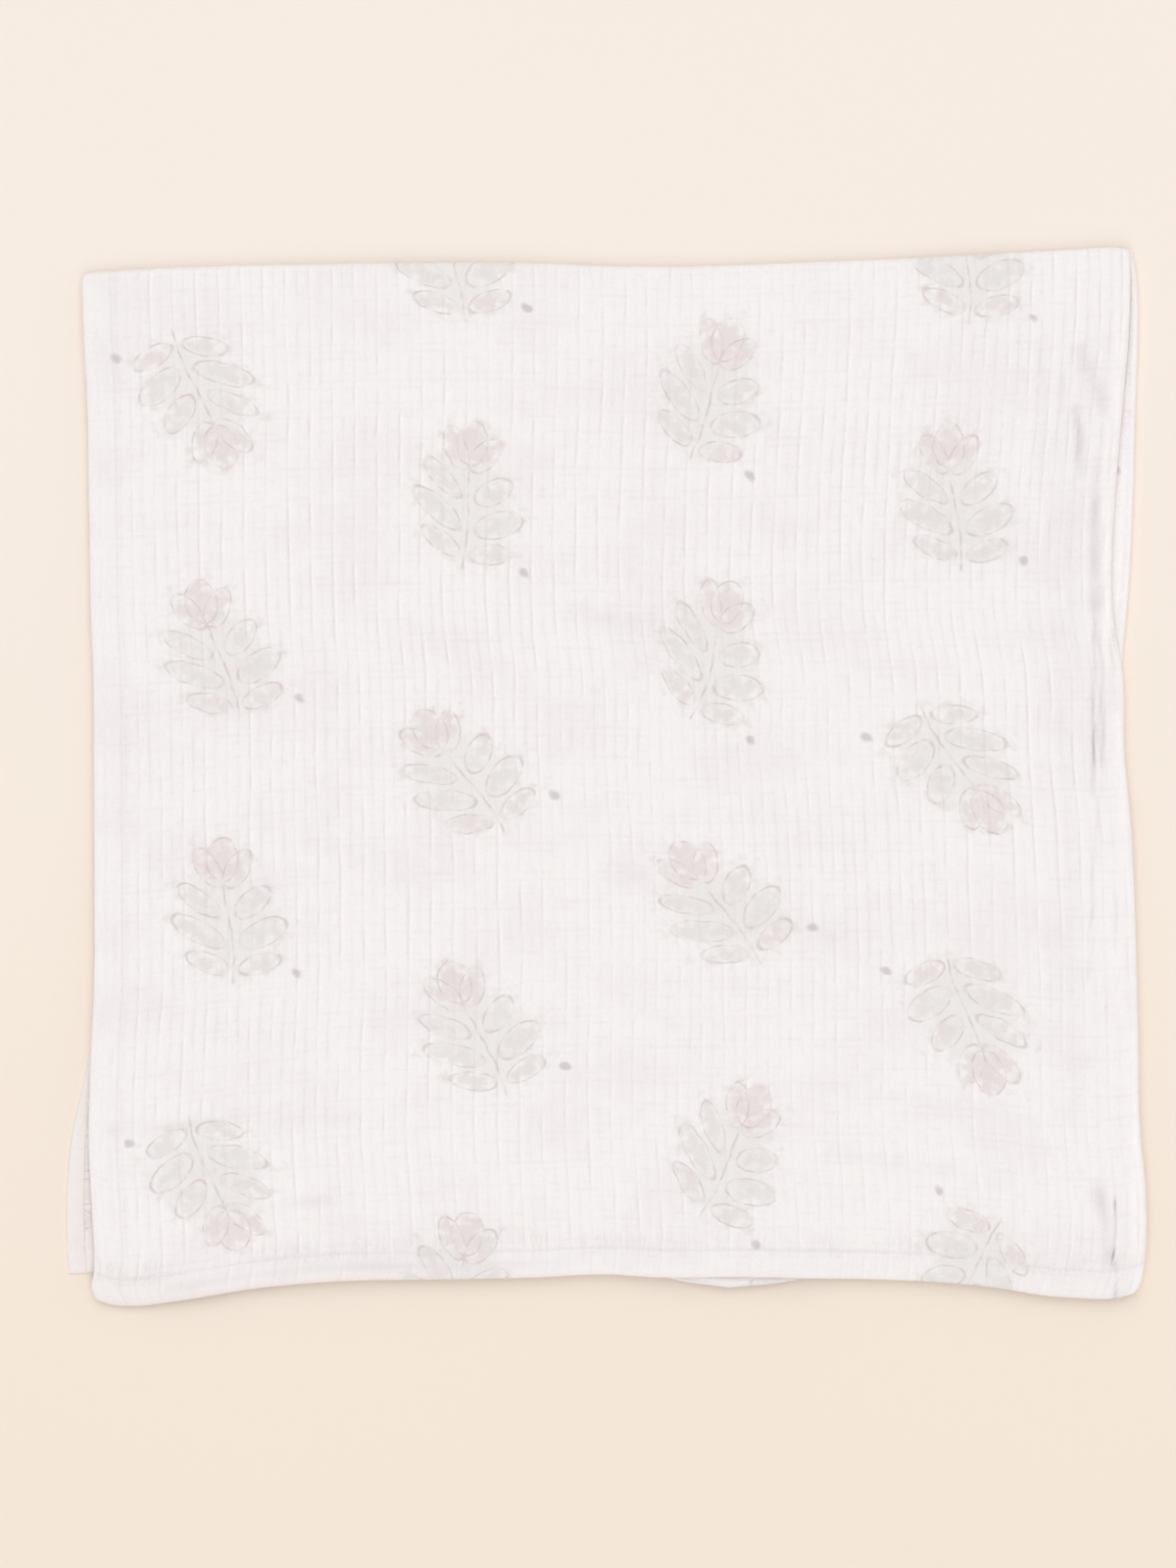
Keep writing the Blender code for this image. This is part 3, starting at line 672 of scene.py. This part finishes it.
class Cloth:
    """A material under construction: its node tree, and the flat cloth's coordinates in millimetres."""

    def __init__(self, name):
        self.material = bpy.data.materials.new(name)
        self.material.use_nodes = True
        self.tree = self.material.node_tree
        self.shader = self.tree.nodes["Principled BSDF"]
        place = self.tree.nodes.new("ShaderNodeUVMap").outputs["UV"]
        split = made_node(self.tree, "SeparateXYZ", {0: place})
        self.u, self.v = (Field(self.tree, split.outputs[axis]) * (1 / MM) for axis in (0, 1))

    def noise(self, spots):
        """Smooth noise in spots of one kind: about 0.5, or from 0 to 1 where it is stretched."""
        inputs = {0: self.u / spots.across, 1: self.v / spots.along, 2: spots.seed}
        place = made_node(self.tree, "CombineXYZ", inputs).outputs[0]
        inputs = {"Vector": place, "Scale": 1.0, "Detail": spots.detail}
        value = Field(self.tree, made_node(self.tree, "TexNoise", inputs).outputs["Fac"])
        return value if spots.low is None else value.ramp(spots.low, spots.high)

    def hashed(self, column, row, seed):
        """A number from 0 to 1 for each whole column and row."""
        place = made_node(self.tree, "CombineXYZ", {0: column, 1: row, 2: seed}).outputs[0]
        return Field(self.tree, made_node(self.tree, "TexWhiteNoise", {"Vector": place}).outputs["Value"])

    def mixed(self, factor, first, second):
        """A colour between two, each a colour or a socket."""
        node = made_node(self.tree, "Mix", {"Factor": factor}, data_type="RGBA")
        ends = [number for number, socket in enumerate(node.inputs) if socket.type == "RGBA"]
        for number, colour in zip(ends, (first, second)):
            fill(node, {number: (*colour, 1.0) if isinstance(colour, tuple) else colour})
        return next(socket for socket in node.outputs if socket.type == "RGBA")

    def bump(self, height, distance, under=None):
        """A bump of this height, 0 to 1, and distance in metres, laid over the one under it."""
        inputs = {"Height": height, "Distance": distance}
        if under is not None:
            inputs["Normal"] = under
        return made_node(self.tree, "Bump", inputs).outputs["Normal"]


# ---- colours, as linear light

COTTON = (0.916, 0.885, 0.881)
# A painted highlight, for the ridges beside the grooves and the strip past the upper fold.
COTTON_PAINTED_HIGHLIGHT = (0.975, 0.925, 0.930)
# Darker cotton: partly the cloth's own uneven tone, partly painted shade in its small dips.
COTTON_SHADE = (0.850, 0.806, 0.806)
# The next two are painted shade, the second where that shade is deepest: in grooves, tucks, stitch dips,
# creases and the shadows past the layers' edges.
GROOVE_SHADE = (0.738, 0.683, 0.690)
GAP_SHADE = (0.420, 0.365, 0.370)
STRIP_CREAM = (0.902, 0.842, 0.826)
RIM_BLUSH = (0.895, 0.815, 0.812)
WASH_GREEN = (0.780, 0.755, 0.742)
WASH_BLUSH = (0.785, 0.705, 0.705)
LINE_GREY = (0.590, 0.545, 0.555)
LINE_BLUSH = (0.640, 0.520, 0.530)
SEED_GREY = (0.560, 0.510, 0.530)
FLOOR_CREAM = (0.918, 0.836, 0.772)
FLOOR_DEEPER = (0.878, 0.768, 0.650)

# ---- print

# Sprigs, each turned its own way in its own cell of the cloth, with a seed beside each. Lengths are in
# millimetres. One half of a sprig is stated, from its tip to its stem, and the other half mirrors it.
CELL_WIDTH, CELL_HEIGHT, CELL_JITTER = 142, 148, 16
CELL_STEP = 0.5  # how far a column of cells lies below the one before it, as a share of a cell
SWAY = 0.55  # radians to either side of upright or of upside down
Leaf = namedtuple("Leaf", "x y long wide tilt blush")  # tilt is in degrees
LEAVES = (
    Leaf(0, 32, 12.5, 9, 90, 0.75),
    Leaf(8.5, 27, 12.5, 6.5, 58, 0.55),
    Leaf(15, 8, 13.5, 6, 40, 0.25),
    Leaf(18, -10, 15.5, 6.8, 30, 0.15),
    Leaf(15, -28, 12.5, 5.6, 20, 0.40),
)
GROUND = Leaf(0, -2, 37, 27, 90, 0.60)  # the paler wash behind them all, and how strong it is
BEND, BEND_LENGTH, LEAN = 2.6, 17, 0.16  # how a sprig bends, and how much one half stands above the other
STEM_TOP, STEM_FOOT = 22, -42
# Where the ink starts and is full: near an outline, near the stem's middle, and within the stem's ends.
LINE_EDGE, STEM_EDGE, STEM_END = (0.75, 0.1), (1.05, 0.2), (0, 3)
LINE_FAINT, LINE_MORE = 0.12, 0.5  # where the brush barely presses, and what full pressure adds
SEED_X, SEED_Y, SEED_RADIUS, SEED_SOFT, SEED_INK = 38, -27, 3.5, 2.6, 0.7
SEED_SQUAT, SEED_SLANT = 0.85, 0.3  # its height as a share of its width, and how it slopes

HAND = Spots(9, 9, 2, 3)  # the wobble of a brush held by hand
HAND_ACROSS, HAND_ALONG, HAND_SEED = 3, 2, 5  # how far it moves a sprig, and a seed's edge
PRESSURE = Spots(8, 8, 2, 7, 0.40, 0.62)  # of the brush that draws the outlines
BLOTS = Spots(6, 6, 4, 5)  # how far the paint runs
POOLS = Spots(14, 14, 3, 9)  # how thick it dries
# How crisp the edge of a wash is, how far its paint runs, and where the wash starts and is full.
GROUND_FIRM, GROUND_RUN, GROUND_EDGE = 0.5, 18, (2, -5)
LEAF_FIRM, LEAF_RUN, LEAF_EDGE = 0.6, 15, (2.2, -3)
SEED_RUN = 1.5
# Thick paint dries blush and dark.
POOL_BLUSH, BLUSH_FROM, BLUSH_RANGE, INK_BLUSH = 0.9, 0.4, (0, 0.8), (0.42, 0.58)
POOL_DEPTH, WASH_LEAST = 0.6, 0.55


def ellipse(p, q, leaf):
    """How far outside a leaf's outline a point is, in millimetres, and less than nothing inside it."""
    x, y = p - leaf.x, q - leaf.y
    cosine, sine = math.cos(math.radians(leaf.tilt)), math.sin(math.radians(leaf.tilt))
    along, across = x * cosine + y * sine, y * cosine - x * sine
    return (length_of(along / leaf.long, across / leaf.wide) - 1.0) * leaf.wide


def sprig_place(cloth):
    """Where a point of the cloth lies on the sprig of its cell: across it and up it."""
    column = (cloth.u / CELL_WIDTH).floor()
    height = cloth.v / CELL_HEIGHT + column * CELL_STEP
    row = height.floor()
    shift_u, shift_v = (cloth.hashed(column, row, seed) - 0.5 for seed in (1, 2))
    p = cloth.u - (column + 0.5) * CELL_WIDTH + shift_u * CELL_JITTER
    q = (height - row - 0.5) * CELL_HEIGHT + shift_v * CELL_JITTER
    over = cloth.hashed(column, row, 3).over(0.5) * math.pi
    turn = (cloth.hashed(column, row, 4) - 0.5) * (2 * SWAY) + over
    cosine, sine = turn.cosine(), turn.sine()
    return p * cosine - q * sine, p * sine + q * cosine


def printed(cloth, plain):
    """The cloth's colour with its print: washes, broken outlines, stems and seeds."""
    p, q = sprig_place(cloth)
    hand = cloth.noise(HAND) - 0.5
    bent = p + (q / BEND_LENGTH).sine() * BEND + hand * HAND_ACROSS
    half, risen = abs(bent), q + bent * LEAN + hand * HAND_ALONG
    blot = cloth.noise(BLOTS)
    pressure = cloth.noise(PRESSURE)

    ground = ellipse(half, risen, GROUND) * GROUND_FIRM + (blot - 0.5) * GROUND_RUN
    wash, blush, line = ground.ramp(*GROUND_EDGE) * GROUND.blush, None, None
    for leaf in LEAVES:
        outside = ellipse(half, risen, leaf)
        filled = (outside * LEAF_FIRM + (blot - 0.5) * LEAF_RUN).ramp(*LEAF_EDGE)
        drawn = abs(outside).ramp(*LINE_EDGE)
        wash = wash.most(filled)
        blush = filled * leaf.blush if blush is None else blush.most(filled * leaf.blush)
        line = drawn if line is None else line.most(drawn)
    on_stem = abs(bent).ramp(*STEM_EDGE) * (q - STEM_FOOT).ramp(*STEM_END) * (STEM_TOP - q).ramp(*STEM_END)
    line = line.most(on_stem) * (pressure * LINE_MORE + LINE_FAINT)
    seed_out = length_of((p - SEED_X) * SEED_SQUAT, q - SEED_Y + bent * SEED_SLANT)
    seed_out = seed_out + hand * HAND_SEED + blot * SEED_RUN - SEED_RUN / 2
    seed = seed_out.ramp(SEED_RADIUS, SEED_RADIUS - SEED_SOFT)

    pooled = cloth.noise(POOLS)
    tint = cloth.mixed((blush + pooled * POOL_BLUSH - BLUSH_FROM).ramp(*BLUSH_RANGE), WASH_GREEN, WASH_BLUSH)
    coloured = cloth.mixed(wash * (pooled * POOL_DEPTH + WASH_LEAST), plain, tint)
    coloured = cloth.mixed(line, coloured, cloth.mixed(pooled.ramp(*INK_BLUSH), LINE_GREY, LINE_BLUSH))
    return cloth.mixed(seed * SEED_INK, coloured, SEED_GREY)


# ---- fabrics and board

PATCHES = Spots(60, 45, 3, 11, 0.42, 0.70)
SLUBS = Spots(0.9, 16, 2, 13)
WEFT = Spots(14, 0.9, 2, 15)
RIBS = Spots(1.7, 11, 2, 25)
PUCKERS = Spots(5, 3.2, 2, 17)
TIE_EDGE, TIE_SHOWS = (1.8, 0.2), Spots(26, 30, 2, 27, 0.42, 0.66)
# Fainter lines lie between the ties, at a quarter and three quarters of their pitch.
HALF_TIE_EDGE, HALF_TIE_SHOWS, HALF_TIE_SHARE = (1.4, 0.2), Spots(11, 9, 2, 29, 0.44, 0.62), 0.8
TIE_ENDS, TIE_ON_HEM = (12, 19), 0.4  # the side hems cover them but for this share
GATHERS, GATHERS_FROM, GATHERS_TO = Spots(2.2, 14, 2, 31, 0.42, 0.66), (9, 15), (30, 22)
GATHERS_SHOW, GATHERS_LEAST = Spots(40, 40, 2, 33, 0.35, 0.60), 0.3
# How much each of these darkens the cloth, and how much shade the cloth takes before it shows. The patches,
# slubs and weft are the cloth's own uneven tone, the ribs, ties and gathers painted shade in their small
# dips.
PATCH_SHADE, RIB_SHADE, TIE_SHADE, SLUB_SHADE, GATHER_SHADE, SHADE_FROM = 0.38, 0.65, 0.34, 0.28, 0.40, 0.47
# The same for the bumps of the cloth's face, and the heights of the bumps in millimetres.
PUCKER_BUMP, RIB_BUMP, TIE_BUMP, GATHER_BUMP, SLUB_BUMP = 0.5, 0.35, 0.10, 0.25, 0.5
PUCKER_HEIGHT, SLUB_HEIGHT, WEAVE_HEIGHT = 1.1, 0.2, 0.04
# A blush where the bottom hem curls and along all the edges, and cream on the lower layers' left hems.
CURLED, CURLED_ALONG, CURLED_BLUSH, RIM_BAND, RIM_BLUSHES = (7, 3), (300, 190), 0.6, (4, 0.5), 0.4
STRIP_PAST, STRIP_BAND, STRIP_STRENGTH = 9, (24, 12), 0.8
PAINTED_SHADE_STRENGTH, GAP_FROM, GAP_STRENGTH, GAP_MOST = 0.62, 1.3, 0.6, 0.8  # how strongly the painted shade is mixed in, and from where, how fast and how far its deepest part turns darker
COTTON_ROUGHNESS, ROUGHNESS_RANGE = 0.9, 0.06
COTTON_SHEEN, COTTON_SHEEN_ROUGHNESS, COTTON_SPECULAR = 0.12, 0.5, 0.25
YARN_PITCH = 0.56  # millimetres from one thread of the weave to the next
SEWN_TWIST, SEWN_HEIGHT, SEWN_ROUGHNESS = 0.4, 0.05, 0.7  # of the sewing thread
CLOUDS, GRAIN = Spots(420, 420, 2, 21), Spots(1.5, 1.5, 2, 23)
NEARER = (-300, 700)  # the board is deeper in colour towards the bottom of the picture
NEARER_DEEPER, CLOUDS_DEEPER, GRAIN_DEEPER, GRAIN_HEIGHT = 0.8, 0.3, 0.1, 0.02
BOARD_ROUGHNESS, BOARD_SPECULAR = 0.85, 0.1


def muslin():
    """Printed cotton gauze: its threads, slubs and small puckers, its print, and the shade and highlights
    painted on it.
    """
    cloth = Cloth("printed_gauze")
    # The shade painted on the sheet point by point, and the light painted where it is below nothing.
    painted_shade = Field(cloth.tree, made_node(cloth.tree, "Attribute", {}, attribute_name="painted_shade").outputs["Fac"])
    u, v = cloth.u, cloth.v
    patches, ribs = cloth.noise(PATCHES), cloth.noise(RIBS)
    slubs, weft = cloth.noise(SLUBS), cloth.noise(WEFT)
    from_side, from_end = u.least(FLAT_WIDTH - u), v.least(FLAT_LENGTH - v)
    tie = abs(v.wrapped(TIE_PITCH)).ramp(*TIE_EDGE) * cloth.noise(TIE_SHOWS)
    half_tie = abs((v + TIE_PITCH / 4).wrapped(TIE_PITCH / 2)).ramp(*HALF_TIE_EDGE)
    half_tie = half_tie * cloth.noise(HALF_TIE_SHOWS)
    tie = tie.most(half_tie * HALF_TIE_SHARE)
    tie = tie * (from_side.ramp(*TIE_ENDS) * (1 - TIE_ON_HEM) + TIE_ON_HEM)
    gathers = cloth.noise(GATHERS) * (from_end.ramp(*GATHERS_FROM) * from_end.ramp(*GATHERS_TO))
    gathers = gathers * (cloth.noise(GATHERS_SHOW) * (1 - GATHERS_LEAST) + GATHERS_LEAST)

    # The cloth's own uneven tone from the patches, slubs and weft, and painted shade in the dips of the ribs,
    # ties and gathers.
    shade = patches * PATCH_SHADE + ribs * RIB_SHADE + tie * TIE_SHADE
    shade = shade + (slubs + weft) * SLUB_SHADE + gathers * GATHER_SHADE - SHADE_FROM
    plain = cloth.mixed(shade.most(0.0).least(1.0), COTTON, COTTON_SHADE)
    curled = from_end.ramp(*CURLED) * u.ramp(*CURLED_ALONG)
    rim = from_side.least(from_end).ramp(*RIM_BAND)
    plain = cloth.mixed(curled * CURLED_BLUSH + rim * RIM_BLUSHES, plain, RIM_BLUSH)
    lower_hem = v.ramp(HALF_LENGTH - STRIP_PAST, HALF_LENGTH + STRIP_PAST) * from_side.ramp(*STRIP_BAND)
    plain = cloth.mixed(lower_hem * STRIP_STRENGTH, plain, STRIP_CREAM)
    # Painted shade from the sheet's points, darkest where it is deepest, and a painted highlight where it is
    # below nothing.
    plain = cloth.mixed((painted_shade * PAINTED_SHADE_STRENGTH).most(0.0).least(1.0), plain, GROOVE_SHADE)
    plain = cloth.mixed(((painted_shade - GAP_FROM) * GAP_STRENGTH).most(0.0).least(GAP_MOST), plain, GAP_SHADE)
    plain = cloth.mixed((painted_shade * -1.0).most(0.0), plain, COTTON_PAINTED_HIGHLIGHT)

    relief = cloth.noise(PUCKERS) * PUCKER_BUMP - ribs * RIB_BUMP - tie * TIE_BUMP - gathers * GATHER_BUMP
    weave = (u * (TAU / YARN_PITCH)).sine() * (v * (TAU / YARN_PITCH)).sine() * 0.5 + 0.5
    normal = cloth.bump(relief, PUCKER_HEIGHT * MM)
    normal = cloth.bump(slubs * SLUB_BUMP + weft * SLUB_BUMP, SLUB_HEIGHT * MM, under=normal)
    normal = cloth.bump(weave, WEAVE_HEIGHT * MM, under=normal)
    rough = slubs * ROUGHNESS_RANGE + (COTTON_ROUGHNESS - ROUGHNESS_RANGE / 2)
    fill(cloth.shader, {"Base Color": printed(cloth, plain), "Normal": normal, "Roughness": rough})
    cloth.shader.inputs["Sheen Weight"].default_value = COTTON_SHEEN
    cloth.shader.inputs["Sheen Roughness"].default_value = COTTON_SHEEN_ROUGHNESS
    cloth.shader.inputs["Specular IOR Level"].default_value = COTTON_SPECULAR
    return cloth.material


def thread():
    """Cotton sewing thread, twisted."""
    cloth = Cloth("thread")
    twist = ((cloth.u + cloth.v) * (TAU / SEWN_TWIST)).sine() * 0.5 + 0.5
    colour, normal = cloth.mixed(twist, COTTON_SHADE, COTTON), cloth.bump(twist, SEWN_HEIGHT * MM)
    fill(cloth.shader, {"Base Color": colour, "Normal": normal, "Roughness": SEWN_ROUGHNESS})
    return cloth.material


def backdrop():
    """Smooth cream board."""
    board = Cloth("backdrop")
    grain = board.noise(GRAIN)
    deeper = (board.v * -1.0).ramp(*NEARER) * NEARER_DEEPER
    deeper = (deeper + board.noise(CLOUDS) * CLOUDS_DEEPER + grain * GRAIN_DEEPER).least(1.0)
    colour, normal = board.mixed(deeper, FLOOR_CREAM, FLOOR_DEEPER), board.bump(grain, GRAIN_HEIGHT * MM)
    fill(board.shader, {"Base Color": colour, "Normal": normal, "Roughness": BOARD_ROUGHNESS})
    board.shader.inputs["Specular IOR Level"].default_value = BOARD_SPECULAR
    return board.material


# ---- pieces

STITCH_PITCH, STITCH_LENGTH, STITCH_RADIUS = 3.0, 2.5, 0.2
STITCH_STEPS, STITCH_SIDES = 4, 6  # points along each pitch, and round the thread
# The thread's rings of points: how far along the stitch each one is, and its share of the radius.
STITCH_RINGS = ((0.0, 0.35), (0.12, 0.85), (0.5, 1.0), (0.88, 0.85), (1.0, 0.35))
STITCH_SUNK, STITCH_ARCH = 0.2, 0.6  # how many radii off the cloth its ends lie, and how many more its middle


def added(name, data):
    """A new object in the scene."""
    item = bpy.data.objects.new(name, data)
    bpy.context.collection.objects.link(item)
    return item


def placed(name, mesh, material):
    mesh.materials.append(material)
    return added(name, mesh)


def ring_faces(start, rings, sides):
    """Faces between rings of points that follow each other from a start."""
    for base in range(start, start + (rings - 1) * sides, sides):
        for side in range(sides):
            a, b = base + side, base + (side + 1) % sides
            yield a, b, b + sides, a + sides


def stitch_rows():
    """The two rows of stitches that show, as points on the cloth: up the left hem, and along the bottom."""

    def lines(places):
        return Lines(edge=places, turn=np.zeros(len(places)), flat=places, kept=None)

    row, step = lines(np.array([HEM_WIDTH])), STITCH_PITCH / STITCH_STEPS
    up = cloth_points(row, lines(np.arange(HEM_WIDTH, HALF_LENGTH, step)), 1)[0][:, 0]
    across = cloth_points(lines(np.arange(HEM_WIDTH, HALF_WIDTH, step)), row, 1)[0][0]
    return up, across


def stitch_mesh():
    """Every stitch is a short thread with tapered ends, laid in the dip that it makes."""
    verts, faces = [], []
    for row in stitch_rows():
        for start in range(0, len(row) - STITCH_STEPS, STITCH_STEPS):
            first, last = Vector(row[start]), Vector(row[start + STITCH_STEPS - 1])
            run = (last - first).normalized() * STITCH_LENGTH * MM
            side = run.cross(Vector((0, 0, 1))).normalized()
            up = side.cross(run).normalized()
            base = len(verts)
            for share, width in STITCH_RINGS:
                lift = STITCH_SUNK + STITCH_ARCH * math.sin(math.pi * share)
                middle = first + run * share + up * STITCH_RADIUS * MM * lift
                for corner in range(STITCH_SIDES):
                    angle = TAU * corner / STITCH_SIDES
                    out = side * math.cos(angle) + up * math.sin(angle)
                    verts.append(middle + out * STITCH_RADIUS * MM * width)
            faces += ring_faces(base, len(STITCH_RINGS), STITCH_SIDES)
            faces.append(tuple(reversed(range(base, base + STITCH_SIDES))))
            faces.append(tuple(range(len(verts) - STITCH_SIDES, len(verts))))
    mesh = bpy.data.meshes.new("hem_stitches")
    mesh.from_pydata(verts, [], faces)
    mesh.shade_smooth()
    return mesh


FLOOR_RADIUS, COVE_RADIUS = 8.0, 5.0  # in metres: the flat floor, and the curve that carries it up all round
COVE_STEPS, FLOOR_SIDES = 16, 72


def floor_mesh():
    """A round floor that curves up into a wall. Its UV map is the board laid flat."""
    rings = [(FLOOR_RADIUS, 0.0, FLOOR_RADIUS)]
    for step in range(1, COVE_STEPS + 1):
        angle = math.pi / 2 * step / COVE_STEPS
        out, up = FLOOR_RADIUS + COVE_RADIUS * math.sin(angle), COVE_RADIUS * (1 - math.cos(angle))
        rings.append((out, up, FLOOR_RADIUS + COVE_RADIUS * angle))
    verts, places = [], []
    for out, up, along in rings:
        for side in range(FLOOR_SIDES):
            x, y = math.cos(TAU * side / FLOOR_SIDES), math.sin(TAU * side / FLOOR_SIDES)
            verts.append((x * out, y * out, up))
            places.append((x * along, y * along))
    faces = [tuple(range(FLOOR_SIDES))]
    faces += [face[::-1] for face in ring_faces(0, len(rings), FLOOR_SIDES)]
    mesh = bpy.data.meshes.new("floor")
    mesh.from_pydata(verts, [], faces)
    map_flat(mesh, "board", places)
    mesh.shade_smooth()
    return mesh


# ---- light and camera

# The camera looks straight down. Lengths are in metres, but for the sensor's height, which is in millimetres.
VIEW_CENTRE = (-0.01036, -0.00392)
VIEW_TALL = 0.896  # how much of the plane at the cloth's height the picture takes in, from top to bottom
VIEW_PLANE = 0.008
CAMERA_DISTANCE = 2.2
SENSOR = 36.0
SoftBox = namedtuple("SoftBox", "name tilt strength")  # tilt from overhead towards the top of the blanket
SOFT_BOXES = (
    SoftBox("soft_box_near", -40.0, 0.83),
    SoftBox("soft_box_above", 0.0, 0.40),
    SoftBox("soft_box_far", 40.0, 0.92),
)
LIGHT_BREADTH = math.radians(55)
LIGHT_COLOUR = (0.966, 0.874, 0.75)
AIR_STRENGTH = 0.565
AIR_COLOUR = (0.806, 0.929, 1.078)


def add_camera():
    data = bpy.data.cameras.new("camera")
    data.sensor_fit = "VERTICAL"
    data.sensor_height = SENSOR
    data.lens = SENSOR * CAMERA_DISTANCE / VIEW_TALL
    camera = added("camera", data)
    camera.location = (*VIEW_CENTRE, VIEW_PLANE + CAMERA_DISTANCE)
    bpy.context.scene.camera = camera


def add_lights():
    """A row of broad soft lights, far enough away to be even over the whole blanket."""
    for box in SOFT_BOXES:
        data = bpy.data.lights.new(box.name, "SUN")
        data.energy = box.strength
        data.color = LIGHT_COLOUR
        data.angle = LIGHT_BREADTH
        added(box.name, data).rotation_euler = (-math.radians(box.tilt), 0, 0)


def add_air():
    """Pale walls all round, as even light."""
    world = bpy.data.worlds.new("air")
    world.use_nodes = True
    background = world.node_tree.nodes["Background"]
    background.inputs["Color"].default_value = (*AIR_COLOUR, 1.0)
    background.inputs["Strength"].default_value = AIR_STRENGTH
    bpy.context.scene.world = world


blanket = placed("muslin_blanket", cloth_mesh(), muslin())
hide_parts("blanket")
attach(blanket, "root")

stitches = placed("hem_stitches", stitch_mesh(), thread())
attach(stitches, "root")

floor = placed("floor", floor_mesh(), backdrop())

add_air()
add_lights()
add_camera()
bpy.context.scene.view_settings.view_transform = "Standard"
